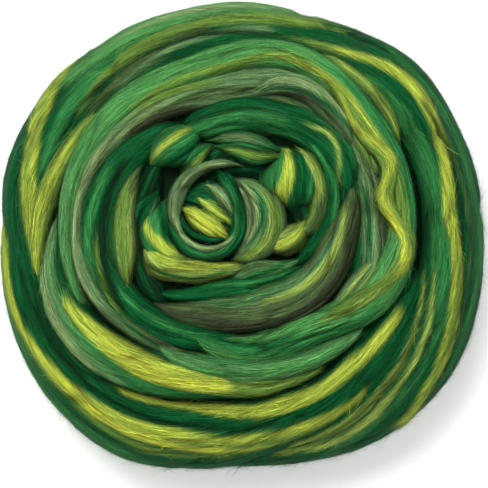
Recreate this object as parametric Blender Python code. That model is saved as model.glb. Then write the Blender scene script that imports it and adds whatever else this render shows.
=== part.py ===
"""A nest of combed wool roving: one long soft rope of fibre, wound round on itself and laid flat.

The nest is one closed body. Its skin is a turned form: a meridian runs from the top centre over
the crown, round the rim, and under the side to the flat spot that it rests on. Each visible turn
of the rope is then raised on that skin as a rounded lobe, with a crevice where two turns meet.

A place on the skin is an angle about the centre, anticlockwise from +X, and a reach: the distance
along the meridian from the top centre. Rows of the tables give radii as seen from above. A radius
beyond the rim runs on down the side, so one row can wrap over the edge.
"""

import math
from collections import namedtuple

import bpy
import numpy as np

MM = 0.001

# Driving sizes, in millimetres. The rest of the skin follows from them.
NEST_HEIGHT = 72.0
NOMINAL_RADIUS = 100.0
RIM_HEIGHT = 29.0
REST_RADIUS = 76.0
CROWN_FLATNESS = 2.45
CROWN_ROUNDNESS = 2.0
BOWL_DEPTH = 9.0
BOWL_RADIUS = 40.0
CREVICE_DEPTH = 7.0
LOBE_POWER = 2.4
LOBE_SOFTNESS = 1.9
LOBE_SPREAD = 1.0

# Rim radius seen from above, every 15 degrees from +X.
RIM_RADII = (
    99.5, 100.0, 100.5, 101.6, 98.6, 95.8, 97.0, 97.0, 99.0, 100.5, 101.6, 102.0,
    99.6, 101.4, 103.8, 105.4, 105.0, 100.4, 97.0, 97.5, 101.2, 103.4, 104.2, 101.8,
)

# Mesh: the spacing of its rings, and the columns round each. Both are finer near the centre,
# where the turns are small. A ring has the columns of the first row whose reach it is within.
CENTRE_SPACING = 2.7
CROWN_SPACING = 3.25
SIDE_SPACING = 4.4
UNDERSIDE_SPACING = 24.0
CENTRE_REACH = 40.0
COLUMNS_WITHIN = ((14.0, 36), (CENTRE_REACH, 72), (math.inf, 144))
PATH_SPACING = 1.0

# One row for each visible turn, apart from a few strands finer than the mesh. centre: the middle
# that the turn winds about. start and sweep: degrees. radii, half_widths and crests: values at
# even steps along the turn, in millimetres. crests: how far the lobe's top stands above the skin.
# depth: how far its edges fall below that.
Turn = namedtuple("Turn", "name centre start sweep radii half_widths crests depth")

NEST = (0.0, 0.0)
CURL = (-15.3, 8.2)
SLIT = (-31.9, -20.1)
GLOBE = (8.0, 14.0)
HUMP = (-5.0, 22.0)
CRADLE = (-20.0, 15.0)

TURNS = (
    Turn("outer_left", NEST, 160, 190, (101.5, 100.5, 99.5, 95.5, 83.5, 78, 73.5, 76),
         (8.5, 9.5, 12, 16.5, 12.5, 9, 7.5, 2.5), (-3, 1, 1, 1, 1, 1, 0, -3), 7),
    Turn("outer_top", NEST, 200, -156, (89, 96, 96.5, 93.5, 92, 93.5, 99),
         (3, 12, 13.5, 13.5, 13, 11, 4), (-5, 1, 1, 1, 1, 0, -4), 7),
    Turn("outer_right", NEST, 88, -200, (84, 93.5, 94, 93, 94.5, 98.5, 103),
         (2, 12, 15, 15.5, 17, 9.5, 5), (-2, 1, 1, 1, 1, 0, -4), 7),
    Turn("lime_fork", NEST, 192, -54, (87.5, 85, 82.3, 80, 78.5),
         (0.6, 2.4, 3.2, 2.6, 1), (0, 2, 2, 2, 1), 4),
    Turn("green_fold", NEST, 232, 92, (58, 56.5, 56, 58, 63),
         (1, 4.4, 4.6, 3.6, 1.2), (-1, 1, 1, 1, -1), 5),
    Turn("lime_lower", NEST, 172, 132, (79, 82, 77.5, 68, 62, 62.5, 64),
         (2, 6, 8.5, 9, 7, 4, 2), (-4, 0, 1, 1, 0, -1, -4), 6),
    Turn("kink", NEST, 66, -112, (74.2, 70, 64.9, 64.8, 68.1, 57.8, 64.5, 68, 63, 55, 50.5, 48),
         (0.6, 1.2, 1.8, 2.2, 3, 3, 2.6, 2.4, 2.2, 1.8, 1.4, 0.6), (2, 3, 4, 4, 5, 4, 4, 4, 4, 3, 2), 4),
    Turn("bright_ring", NEST, 204, -322, (73, 73.8, 74.4, 72, 78, 70.6, 67.6, 61, 47.5, 47.5, 46),
         (0.6, 2.4, 4.2, 5.5, 5, 5.4, 3.8, 7.5, 6.5, 5.5, 2), (0, 2, 2, 2, 2, 3, 3, 3, 2, 1, -3), 6),
    Turn("sage_ring", NEST, 246, -224, (54, 60, 67.5, 69.5, 68, 64.5, 62.5, 66, 63, 60),
         (1.5, 3, 1.8, 0.6, 2.6, 5.6, 6, 7.4, 5.5, 4), (-3, -1, 1, 1, 0, 0, -1, -1, -1, -2), 5),
    Turn("sage_lobe", NEST, 89, -52, (56.5, 64.5, 66, 63.5, 61, 59),
         (1, 3.2, 3.8, 3.6, 3.4, 2), (-1, 4, 6, 5, 3, 0), 8),
    Turn("sage_tail", NEST, 36, -66, (59.5, 56.4, 54.6, 56.5, 57),
         (3, 4.6, 4.8, 5, 3), (-3, -1, -1, -1, -3), 5),
    Turn("dark_left", NEST, 118, 150, (54, 59, 61.5, 57.5, 47.5, 41),
         (3, 7, 8, 7, 6, 3.5), (-4, -2, -1, -2, -2, -4), 5),
    Turn("right_hollow", NEST, 34, -70, (54, 52.5, 52, 50),
         (5, 7, 7, 5), (-5, -4, -4, -5), 4),
    Turn("left_hollow", NEST, 134, 90, (47, 44, 43, 42.5, 43, 42),
         (4, 6, 6.5, 6.5, 5.5, 4), (-6, -5, -6, -6, -5, -4), 5),
    Turn("hollow_lobe", NEST, 151, 30, (39.2, 41, 42.4, 43.4),
         (2.2, 3.8, 3.6, 1.4), (-2, 1, 0, -3), 6),
    Turn("lime_left", NEST, 145, 60, (51.9, 50.6, 50, 49.6, 52.5),
         (0.8, 3.2, 5.2, 5, 0.8), (-1, 1, 2, 2, -1), 5),
    Turn("green_right", NEST, 68, -96, (49, 49, 43.5, 36, 30, 24),
         (3, 4.6, 5, 4.8, 4, 2.2), (-2, -1, -2, -2, -3, -4), 5),
    Turn("green_inner", NEST, 124, -105, (50, 49.5, 51, 51.5, 53, 52, 46),
         (3, 6, 6.8, 6.2, 6.6, 6, 2.4), (-2, 0, 0, 0, 0, 0, -2), 6),
    Turn("wedge", NEST, -3, -42, (61, 56, 51.8, 50, 49),
         (4.5, 5, 4.8, 3.8, 1.4), (-1, 0, 0, 0, -1), 5),
    Turn("cradle_dark", NEST, 212, 128, (43, 28, 22.6, 21.6, 22.3, 25, 30),
         (3, 4, 4, 3.6, 3.4, 3.2, 2), (-3, -1, 0, 0, 0, -1, -3), 4),
    Turn("cradle_green", NEST, 252, 88, (18, 15, 14.2, 17.2, 25.5),
         (2, 3.2, 3.6, 3.6, 2.2), (-2, 0, 0, -1, -3), 4),
    Turn("inner_ring", NEST, 27, -170, (50.5, 40.8, 36.9, 34, 31, 31.6, 35.4, 46),
         (0.9, 6.5, 7.3, 8.3, 8.1, 7, 5.8, 1.6), (0, 2, 3, 3, 3, 2, 1, -1), 6),
    Turn("cradle_lime", CRADLE, 222, 90, (27.5, 29.5, 28.6, 28.8, 31, 34.5),
         (3, 5, 4.8, 3.8, 2.2, 1), (0, 2, 2, 2, 1, -1), 5),
    Turn("upper_lobe", NEST, 144, -34, (48.5, 47, 46.2, 46.2, 47),
         (4.6, 8, 9, 8, 4.6), (-2, 3, 4, 3, -2), 9),
    Turn("small_lobe", NEST, 136, -29, (36, 37, 39.8), (3.2, 5, 3.2), (-2, 2, -2), 7),
    Turn("top_upper", NEST, 110, -44, (42, 41, 40, 38.8, 38),
         (2, 3, 3.4, 3, 1.6), (-1, 0, 0, 0, -2), 4),
    Turn("top_lower", NEST, 108, -46, (38.8, 35.6, 33.4, 33.4, 36.4),
         (1, 3, 3.8, 3.4, 1), (-1, 2, 3, 2, 0), 6),
    Turn("globe_rim", GLOBE, 58, -106, (26.8, 25, 24, 23.4, 22.8, 21.8, 20.6),
         (1.4, 2.8, 3.4, 3.2, 2.6, 2.2, 1), (0, 2, 1, 0, -1, -1, -2), 6),
    Turn("globe_foot", GLOBE, -22, -66, (18.6, 19, 19, 18.6, 18),
         (1.6, 3.6, 4.4, 4, 1.6), (-2, 1, 2, 2, 0), 6),
    Turn("right_globe", HUMP, 34, -62, (25.4, 24.8, 24, 24.3, 25.5),
         (6.4, 9.5, 11.4, 10.4, 6.5), (1, 4, 5, 3, -2), 9),
    Turn("left_lobe", CURL, 160, 86, (17.5, 20.5, 22.3, 22, 20),
         (3, 5.2, 5.8, 4.8, 2.4), (-1, 1, 2, 1, 0), 6),
    Turn("fan", CURL, 52, -114, (18.5, 20.6, 23, 24, 24, 22.6, 20.3),
         (1.5, 4, 7, 8, 7, 4, 1.4), (0, 3, 4, 4, 4, 3, 0), 7),
    Turn("centre_hollow", NEST, 158, -176, (24, 31, 31, 30, 28),
         (6, 9, 9, 9, 6), (-7, -6, -6, -6, -7), 3),
    Turn("curl_floor", SLIT, 80, -47, (35.5, 36, 36, 36.5),
         (6, 10, 10, 6), (2, 3.5, 3.5, 2), 3),
    Turn("curl_olive", SLIT, 72, -31, (38.6, 37.4, 36.8, 36.8, 37.6),
         (1.4, 2.2, 2.4, 2.2, 1.4), (5, 5.5, 5.5, 5.5, 5), 4),
    Turn("curl_lime", SLIT, 80, -46, (32.4, 30.8, 30.1, 30.6, 32),
         (1.6, 2.8, 3.2, 2.8, 1.6), (5, 6, 6.5, 6, 5), 4),
    Turn("curl_outer", CURL, 80, -260, (19.4, 14.6, 13.6, 14.9, 16.2, 16, 14.9, 14.6),
         (3.4, 2.4, 2, 2.3, 1.7, 1.5, 1, 0.6), (0, 5, 6, 6, 6, 5, 4, 2), 5),
    Turn("curl", CURL, 56, 282, (25, 20.6, 17, 14.4, 13.3, 12.8, 13.2, 13.9, 14.1, 13.4),
         (0.6, 1.1, 2.1, 2.4, 1.2, 0.5, 0.4, 0.4, 0.3, 0.2), (2, 4, 6, 7, 7, 6, 6, 6, 6, 5), 4),
    Turn("side_wrap", NEST, 40, 760, (109, 117, 124, 131, 137, 142),
         (7, 9.5, 9.5, 9.5, 9, 7), (-3, 0, 0, 0, 0, -2), 6),
)


def clear_scene():
    for thing in list(bpy.data.objects):
        bpy.data.objects.remove(thing, do_unlink=True)


def smooth_values(values, fractions):
    """Values given at even steps, read at fractions from 0 to 1 along a smooth curve."""
    values = np.asarray(values, float)
    steps = len(values) - 1
    padded = np.concatenate([[2 * values[0] - values[1]], values, [2 * values[-1] - values[-2]]])
    place = np.clip(fractions, 0.0, 1.0) * steps
    index = np.minimum(place.astype(int), steps - 1)
    part = place - index
    before, first, second, after = (padded[index + offset] for offset in range(4))
    bend = (second - before) + part * (
        2 * before - 5 * first + 4 * second - after
        + part * (3 * (first - second) + after - before)
    )
    return first + 0.5 * part * bend


def rim_radius(angle):
    """Rim radius at an angle in degrees, smooth all the way round."""
    radii = np.asarray(RIM_RADII)
    wrapped = np.concatenate([radii[-2:], radii, radii[:3]])
    steps = len(wrapped) - 1
    place = (np.mod(angle, 360.0) / (360.0 / len(radii)) + 2.0) / steps
    return smooth_values(wrapped, place)


def nominal_meridian():
    """The skin's outline from the top centre round to the bottom centre: radius, height, reach."""
    fraction = np.sin(np.linspace(0.0, math.pi / 2, 400))
    crown_radius = NOMINAL_RADIUS * fraction
    swell = (1.0 - fraction**CROWN_FLATNESS) ** (1.0 / CROWN_ROUNDNESS)
    bowl = BOWL_DEPTH * np.exp(-((crown_radius / BOWL_RADIUS) ** 2))
    crown_height = RIM_HEIGHT + (NEST_HEIGHT - RIM_HEIGHT) * swell - bowl
    turn = np.linspace(0.0, math.pi / 2, 120)[1:]
    side_radius = REST_RADIUS + (NOMINAL_RADIUS - REST_RADIUS) * np.cos(turn)
    side_height = RIM_HEIGHT * (1.0 - np.sin(turn))
    radius = np.concatenate([crown_radius, side_radius, [0.0]])
    height = np.concatenate([crown_height, side_height, [0.0]])
    reach = np.concatenate([[0.0], np.cumsum(np.hypot(np.diff(radius), np.diff(height)))])
    return radius, height, reach


MERIDIAN_RADIUS, MERIDIAN_HEIGHT, MERIDIAN_REACH = nominal_meridian()
RIM_INDEX = int(np.argmax(MERIDIAN_RADIUS))
RIM_REACH = MERIDIAN_REACH[RIM_INDEX]
REST_REACH = MERIDIAN_REACH[-2]


def reach_of_radius(angle, radius):
    """Reach along the meridian of a radius seen from above; past the rim it runs down the side."""
    nominal = radius * NOMINAL_RADIUS / rim_radius(angle)
    on_crown = np.interp(
        np.clip(nominal, 0.0, NOMINAL_RADIUS),
        MERIDIAN_RADIUS[: RIM_INDEX + 1],
        MERIDIAN_REACH[: RIM_INDEX + 1],
    )
    return on_crown + np.maximum(nominal - NOMINAL_RADIUS, 0.0)


def skin(angle, reach):
    """Points of the plain skin and its outward directions, at angles in degrees and reaches."""
    stretch = rim_radius(angle) / NOMINAL_RADIUS
    radius = np.interp(reach, MERIDIAN_REACH, MERIDIAN_RADIUS)
    height = np.interp(reach, MERIDIAN_REACH, MERIDIAN_HEIGHT)
    ahead = np.minimum(reach + 1.5, MERIDIAN_REACH[-1])
    behind = np.maximum(reach - 1.5, 0.0)
    rise = np.interp(ahead, MERIDIAN_REACH, MERIDIAN_HEIGHT)
    rise = rise - np.interp(behind, MERIDIAN_REACH, MERIDIAN_HEIGHT)
    spread = np.interp(ahead, MERIDIAN_REACH, MERIDIAN_RADIUS)
    spread = spread - np.interp(behind, MERIDIAN_REACH, MERIDIAN_RADIUS)
    length = np.maximum(np.hypot(rise, spread), 1e-9)
    outward, upward = -rise / length, spread / length
    cosine, sine = np.cos(np.radians(angle)), np.sin(np.radians(angle))
    points = np.stack([stretch * radius * cosine, stretch * radius * sine, height], axis=-1)
    directions = np.stack([outward * cosine, outward * sine, upward], axis=-1)
    return points, directions


def turn_path(turn):
    """Samples of a turn on the unrolled skin: place, half width and crest."""
    length = abs(math.radians(turn.sweep)) * max(turn.radii)
    count = max(12, int(length / PATH_SPACING))
    fraction = np.linspace(0.0, 1.0, count)
    angle = turn.start + turn.sweep * fraction
    radius = smooth_values(turn.radii, fraction)
    half_width = smooth_values(turn.half_widths, fraction) + LOBE_SPREAD
    crest = smooth_values(turn.crests, fraction)
    if turn.centre == NEST:
        inner = reach_of_radius(angle, radius - half_width)
        outer = reach_of_radius(angle, radius + half_width)
        reach, half_width = (inner + outer) / 2, (outer - inner) / 2
    else:
        across = turn.centre[0] + radius * np.cos(np.radians(angle))
        up = turn.centre[1] + radius * np.sin(np.radians(angle))
        angle = np.degrees(np.arctan2(up, across))
        reach = reach_of_radius(angle, np.hypot(across, up))
    place = unrolled(angle, reach)
    return place, half_width, crest


def unrolled(angle, reach):
    """The skin laid flat: reach is kept as the distance from the centre."""
    radians = np.radians(angle)
    return np.stack([reach * np.cos(radians), reach * np.sin(radians)], axis=-1)


def relief(angle, reach):
    """Height of the turns above the plain skin: the highest lobe at each place."""
    height = np.full(reach.shape, -CREVICE_DEPTH)
    places = unrolled(angle, reach)
    for turn in TURNS:
        path, half_width, crest = turn_path(turn)
        gap = np.linalg.norm(places[:, None, :] - path[None, :, :], axis=-1) / half_width
        nearest = gap.argmin(axis=1)
        aside = gap[np.arange(len(places)), nearest]
        height = np.maximum(height, crest[nearest] - turn.depth * aside**LOBE_POWER)
    return height


def ring_reaches():
    """Reach of each ring of the mesh, from just off the top centre to the last one underneath."""
    centre = np.arange(CENTRE_SPACING, CENTRE_REACH, CENTRE_SPACING)
    crown = np.linspace(CENTRE_REACH, RIM_REACH, int((RIM_REACH - CENTRE_REACH) / CROWN_SPACING) + 1)
    side = np.linspace(RIM_REACH, REST_REACH, int((REST_REACH - RIM_REACH) / SIDE_SPACING) + 1)
    underside = np.arange(REST_REACH + UNDERSIDE_SPACING, MERIDIAN_REACH[-1] - 10.0, UNDERSIDE_SPACING)
    return np.concatenate([centre, crown[:-1], side, underside])


def columns_at(reach):
    return next(columns for limit, columns in COLUMNS_WITHIN if reach <= limit)


def soft_relief(angle, reach):
    """The relief averaged over a small patch, so that a crevice is soft, as in loose fibre."""
    turned = np.degrees(LOBE_SOFTNESS / np.maximum(reach, LOBE_SOFTNESS))
    farther, nearer = reach + LOBE_SOFTNESS, np.maximum(reach - LOBE_SOFTNESS, 0.0)
    patch = [
        relief(beside, along)
        for beside in (angle - turned, angle, angle + turned)
        for along in (nearer, reach, farther)
    ]
    return sum(patch) / len(patch)


def raised_points(angle, reach):
    """Points of the skin with the turns raised. The underside is left flat."""
    points, directions = skin(angle, reach)
    raised = soft_relief(angle, reach)
    raised[reach >= REST_REACH - 0.01] = 0.0
    points = points + directions * raised[:, None]
    points[:, 2] = np.maximum(points[:, 2], 0.0)
    return points


def nest_points():
    """Points of the rings and of the two centres, in millimetres, and each ring's first point."""
    angles, reaches, starts = [], [], [0]
    for reach in ring_reaches():
        columns = columns_at(reach)
        angles.append(np.arange(columns) * 360.0 / columns)
        reaches.append(np.full(columns, reach))
        starts.append(starts[-1] + columns)
    angles.append(np.zeros(2))
    reaches.append(np.array([0.0, MERIDIAN_REACH[-1]]))
    points = raised_points(np.concatenate(angles), np.concatenate(reaches))
    points[:, :2] -= (points[:, :2].min(axis=0) + points[:, :2].max(axis=0)) / 2
    return points, starts


def band_faces(inner, inner_columns, outer, outer_columns):
    """Faces between two rings; the outer ring has the same columns as the inner, or twice them."""
    faces = []
    for column in range(inner_columns):
        beside = (column + 1) % inner_columns
        if outer_columns == inner_columns:
            faces.append((inner + column, outer + column, outer + beside, inner + beside))
            continue
        left, middle = outer + 2 * column, outer + 2 * column + 1
        right = outer + (2 * column + 2) % outer_columns
        faces.append((inner + column, left, middle))
        faces.append((inner + column, middle, inner + beside))
        faces.append((inner + beside, middle, right))
    return faces


def nest_faces(starts):
    """Faces between neighbouring rings, and a fan round each centre."""
    top = starts[-1]
    bottom = top + 1
    faces = []
    for ring in range(len(starts) - 2):
        columns = starts[ring + 1] - starts[ring]
        outer_columns = starts[ring + 2] - starts[ring + 1]
        faces += band_faces(starts[ring], columns, starts[ring + 1], outer_columns)
    first_columns = starts[1]
    faces += [(top, column, (column + 1) % first_columns) for column in range(first_columns)]
    last, last_columns = starts[-2], starts[-1] - starts[-2]
    for column in range(last_columns):
        faces.append((bottom, last + (column + 1) % last_columns, last + column))
    return faces


def wool_material():
    material = bpy.data.materials.new("green_wool")
    material.use_nodes = True
    shader = material.node_tree.nodes["Principled BSDF"]
    shader.inputs["Base Color"].default_value = (0.09, 0.27, 0.07, 1.0)
    shader.inputs["Roughness"].default_value = 0.7
    shader.inputs["Metallic"].default_value = 0.0
    shader.inputs["Sheen Weight"].default_value = 0.4
    return material


def build_nest():
    points, starts = nest_points()
    mesh = bpy.data.meshes.new("roving_nest")
    mesh.from_pydata((points * MM).tolist(), [], nest_faces(starts))
    mesh.validate()
    mesh.shade_smooth()
    mesh.materials.append(wool_material())
    nest = bpy.data.objects.new("roving_nest", mesh)
    bpy.context.scene.collection.objects.link(nest)


clear_scene()
build_nest()
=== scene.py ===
"""A nest of combed wool roving in blended greens, lying on a pale surface.

The roving is one long soft rope of parallel fibres, wound round on itself. Each visible turn is a
flattened band that lies on the nest's skin, with slivers of several dyes running along it.
"""

import math
from collections import namedtuple

import bpy
import numpy as np
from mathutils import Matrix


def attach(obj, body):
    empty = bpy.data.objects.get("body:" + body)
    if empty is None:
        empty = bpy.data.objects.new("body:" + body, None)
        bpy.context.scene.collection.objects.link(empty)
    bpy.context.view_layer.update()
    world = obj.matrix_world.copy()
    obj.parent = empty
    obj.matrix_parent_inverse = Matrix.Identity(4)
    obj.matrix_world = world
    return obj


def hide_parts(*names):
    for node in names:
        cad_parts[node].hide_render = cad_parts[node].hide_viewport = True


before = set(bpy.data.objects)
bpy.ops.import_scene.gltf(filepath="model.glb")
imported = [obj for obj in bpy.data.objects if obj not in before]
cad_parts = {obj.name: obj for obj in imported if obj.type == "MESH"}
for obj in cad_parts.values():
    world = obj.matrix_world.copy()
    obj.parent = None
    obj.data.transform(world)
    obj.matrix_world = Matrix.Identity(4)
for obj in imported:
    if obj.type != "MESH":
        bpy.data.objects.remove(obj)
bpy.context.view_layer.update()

# ---------------------------------------------------------------------------------------------
# Buried turns. The roving's first turns lie inside the nest, pressed together and seen only down the
# crevices; their near-black colour is painted shade. They are one lumpy body that follows the nest's
# skin from inside.
# The skin is a meridian, from the top centre over the crown and rim to the flat underside, and is
# given in millimetres, as all the wool is.

MM = 0.001
NEST_HEIGHT = 72.0
NOMINAL_RADIUS = 100.0
RIM_HEIGHT = 29.0
REST_RADIUS = 76.0
CROWN_FLATNESS = 2.45
CROWN_ROUNDNESS = 2.0
BOWL_DEPTH = 9.0
BOWL_RADIUS = 40.0
CROWN_STEPS = 400
SIDE_STEPS = 120
SLOPE_STEP = 1.5
TINY = 1e-9
RIM_RADII = (
    99.5, 100.0, 100.5, 101.6, 98.6, 95.8, 97.0, 97.0, 99.0, 100.5, 101.6, 102.0,
    99.6, 101.4, 103.8, 105.4, 105.0, 100.4, 97.0, 97.5, 101.2, 103.4, 104.2, 101.8,
)

DYES = {
    # The dye below is painted shade: a near-black green laid in creases, in hollows and on the buried
    # turns.
    "painted_shade": (3, 34, 18),
    "emerald": (4, 74, 36),
    "kelly": (40, 106, 54),
    "bright": (68, 128, 66),
    "fern": (72, 120, 68),
    "yellow": (172, 180, 62),
    "lime": (150, 166, 60),
    "pale_lime": (126, 148, 68),
    "olive_lime": (92, 122, 50),
    "sage": (88, 120, 76),
    "cream": (120, 144, 92),
    "olive": (64, 84, 48),
    "brown": (52, 60, 40),
}


def dye_colour(name):
    """A dye in linear light, from its 8-bit shade."""
    shade = np.asarray(DYES[name]) / 255.0
    return np.where(shade <= 0.04045, shade / 12.92, ((shade + 0.055) / 1.055) ** 2.4)


def smooth_values(values, fractions):
    """Values given at even steps, read at fractions from 0 to 1 along a smooth curve."""
    values = np.asarray(values, float)
    steps = len(values) - 1
    padded = np.concatenate([[2 * values[0] - values[1]], values, [2 * values[-1] - values[-2]]])
    place = np.clip(fractions, 0.0, 1.0) * steps
    index = np.minimum(place.astype(int), steps - 1)
    part = place - index
    before, first, second, after = (padded[index + offset] for offset in range(4))
    bend = (second - before) + part * (
        2 * before - 5 * first + 4 * second - after
        + part * (3 * (first - second) + after - before)
    )
    return first + 0.5 * part * bend


def rim_stretch(angle):
    """The rim's radius at an angle in degrees, as a share of the nominal one."""
    radii = np.asarray(RIM_RADII)
    wrapped = np.concatenate([radii[-2:], radii, radii[:3]])
    steps = len(wrapped) - 1
    place = (np.mod(angle, 360.0) / (360.0 / len(radii)) + 2.0) / steps
    return smooth_values(wrapped, place) / NOMINAL_RADIUS


def nominal_meridian():
    """The skin's outline from the top centre round to the bottom centre: radius, height, reach."""
    fraction = np.sin(np.linspace(0.0, math.pi / 2, CROWN_STEPS))
    crown_radius = NOMINAL_RADIUS * fraction
    swell = (1.0 - fraction**CROWN_FLATNESS) ** (1.0 / CROWN_ROUNDNESS)
    bowl = BOWL_DEPTH * np.exp(-((crown_radius / BOWL_RADIUS) ** 2))
    crown_height = RIM_HEIGHT + (NEST_HEIGHT - RIM_HEIGHT) * swell - bowl
    turn = np.linspace(0.0, math.pi / 2, SIDE_STEPS)[1:]
    side_radius = REST_RADIUS + (NOMINAL_RADIUS - REST_RADIUS) * np.cos(turn)
    side_height = RIM_HEIGHT * (1.0 - np.sin(turn))
    radius = np.concatenate([crown_radius, side_radius, [0.0]])
    height = np.concatenate([crown_height, side_height, [0.0]])
    reach = np.concatenate([[0.0], np.cumsum(np.hypot(np.diff(radius), np.diff(height)))])
    return radius, height, reach


MERIDIAN_RADIUS, MERIDIAN_HEIGHT, MERIDIAN_REACH = nominal_meridian()
RIM_INDEX = int(np.argmax(MERIDIAN_RADIUS))
RIM_REACH = MERIDIAN_REACH[RIM_INDEX]


def reach_of_radius(angle, radius):
    """Reach of a radius seen from above. A radius past the rim runs on down the side."""
    nominal = radius / rim_stretch(angle)
    on_crown = np.interp(
        np.clip(nominal, 0.0, NOMINAL_RADIUS),
        MERIDIAN_RADIUS[: RIM_INDEX + 1],
        MERIDIAN_REACH[: RIM_INDEX + 1],
    )
    return on_crown + np.maximum(nominal - NOMINAL_RADIUS, 0.0)


def radius_of_reach(angle, reach):
    """The other way round: the radius, running on past the rim, of a reach."""
    on_crown = np.interp(
        np.minimum(reach, RIM_REACH),
        MERIDIAN_REACH[: RIM_INDEX + 1],
        MERIDIAN_RADIUS[: RIM_INDEX + 1],
    )
    return (on_crown + np.maximum(reach - RIM_REACH, 0.0)) * rim_stretch(angle)


def skin(angle, reach):
    """Points of the plain skin and its outward directions, at angles in degrees and reaches."""
    stretch = rim_stretch(angle)
    radius = np.interp(reach, MERIDIAN_REACH, MERIDIAN_RADIUS)
    height = np.interp(reach, MERIDIAN_REACH, MERIDIAN_HEIGHT)
    ahead = np.minimum(reach + SLOPE_STEP, MERIDIAN_REACH[-1])
    behind = np.maximum(reach - SLOPE_STEP, 0.0)
    rise = np.interp(ahead, MERIDIAN_REACH, MERIDIAN_HEIGHT)
    rise = rise - np.interp(behind, MERIDIAN_REACH, MERIDIAN_HEIGHT)
    spread = np.interp(ahead, MERIDIAN_REACH, MERIDIAN_RADIUS)
    spread = spread - np.interp(behind, MERIDIAN_REACH, MERIDIAN_RADIUS)
    length = np.maximum(np.hypot(rise, spread), TINY)
    outward, upward = -rise / length, spread / length
    cosine, sine = np.cos(np.radians(angle)), np.sin(np.radians(angle))
    points = np.stack([stretch * radius * cosine, stretch * radius * sine, height], axis=-1)
    directions = np.stack([outward * cosine, outward * sine, upward], axis=-1)
    return points, directions


def wool_mesh(name, points, faces, vectors, dye):
    """A mesh in wool. vectors: at each point, "lay" is its place along and across the fibres,
    "grain" the way they run and "bend" how fast that turns, per metre."""
    mesh = bpy.data.meshes.new(name)
    mesh.from_pydata((points * MM).tolist(), [], faces)
    for label, values in vectors.items():
        attribute = mesh.attributes.new(label, "FLOAT_VECTOR", "POINT")
        attribute.data.foreach_set("vector", np.ascontiguousarray(values, np.float32).ravel())
    colours = np.ones((len(points), 4), np.float32)
    colours[:, :3] = dye
    attribute = mesh.attributes.new("dye", "FLOAT_COLOR", "POINT")
    attribute.data.foreach_set("color", colours.ravel())
    mesh.shade_smooth()
    piece = bpy.data.objects.new(name, mesh)
    bpy.context.scene.collection.objects.link(piece)
    return piece


BURIED_DEPTH = 9.0
BURIED_RINGS = 50
BURIED_COLUMNS = 120
BURIED_MARGINS = (3.0, 12.0)
# Darkens the buried turns further: painted shade for the depths of the crevices.
BURIED_PAINTED_SHADE = 0.4
LUMP_HEIGHT = 0.8
LUMP_LENGTH = 2.3
LAY_RADIUS = 70.0


def buried_turns():
    columns = BURIED_COLUMNS
    last_reach = MERIDIAN_REACH[-1] - BURIED_MARGINS[1]
    reaches = np.linspace(BURIED_MARGINS[0], last_reach, BURIED_RINGS)
    angle = np.tile(np.arange(columns) * 360.0 / columns, len(reaches))
    reach = np.repeat(reaches, columns)
    points, directions = skin(angle, reach)
    lumps = LUMP_HEIGHT * np.sin(reach / LUMP_LENGTH + np.radians(angle) * 2.0)
    points = points - directions * (BURIED_DEPTH + lumps)[:, None]
    ends = np.array([[0.0, 0.0, points[:, 2].max()], [0.0, 0.0, points[:, 2].min()]])
    count = len(points)
    faces = []
    for ring in range(len(reaches) - 1):
        for column in range(columns):
            beside = (column + 1) % columns
            inner, outer = ring * columns, (ring + 1) * columns
            faces.append((inner + column, outer + column, outer + beside, inner + beside))
    last = (len(reaches) - 1) * columns
    for column in range(columns):
        beside = (column + 1) % columns
        faces.append((count, column, beside))
        faces.append((count + 1, last + beside, last + column))
    points = np.vstack([points, ends])
    lay = np.zeros_like(points)
    lay[:count, 0] = np.radians(angle) * LAY_RADIUS * MM
    lay[:count, 1] = reach * MM
    # The buried turns' colour is painted shade: the near-black crease dye, darkened further.
    dye = np.tile(BURIED_PAINTED_SHADE * dye_colour("painted_shade"), (len(points), 1))
    return wool_mesh("buried_turns", points, faces, {"lay": lay}, dye)


# Layer: fibres seen as noise, by their width and length in metres, and how dark and light they are.
# The layers run from the broadest to the finest, and only the finest is also felt as relief.
Layer = namedtuple("Layer", "across along detail wander darkest lightest")
WOOL_LAYERS = (
    Layer(0.0016, 0.06, 2.0, 0.0, 0.78, 1.22),
    Layer(0.0009, 0.007, 3.0, 1.4, 0.7, 1.3),
    Layer(0.00035, 0.018, 2.0, 0.0, 0.6, 1.4),
)
LAYER_ROUGHNESS = 0.6
NOISE_RANGE = (0.3, 0.7)
RELIEF_STRENGTH = 0.55
RELIEF_HEIGHT = 0.0004
SHINE_TINT = (0.6, 0.85, 0.4, 1.0)
WOOL_FINISH = {
    "Roughness": 0.62,
    "Specular IOR Level": 0.1,
    "Specular Tint": SHINE_TINT,
    "Sheen Weight": 0.04,
    "Sheen Tint": SHINE_TINT,
    "Sheen Roughness": 0.4,
}


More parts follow.
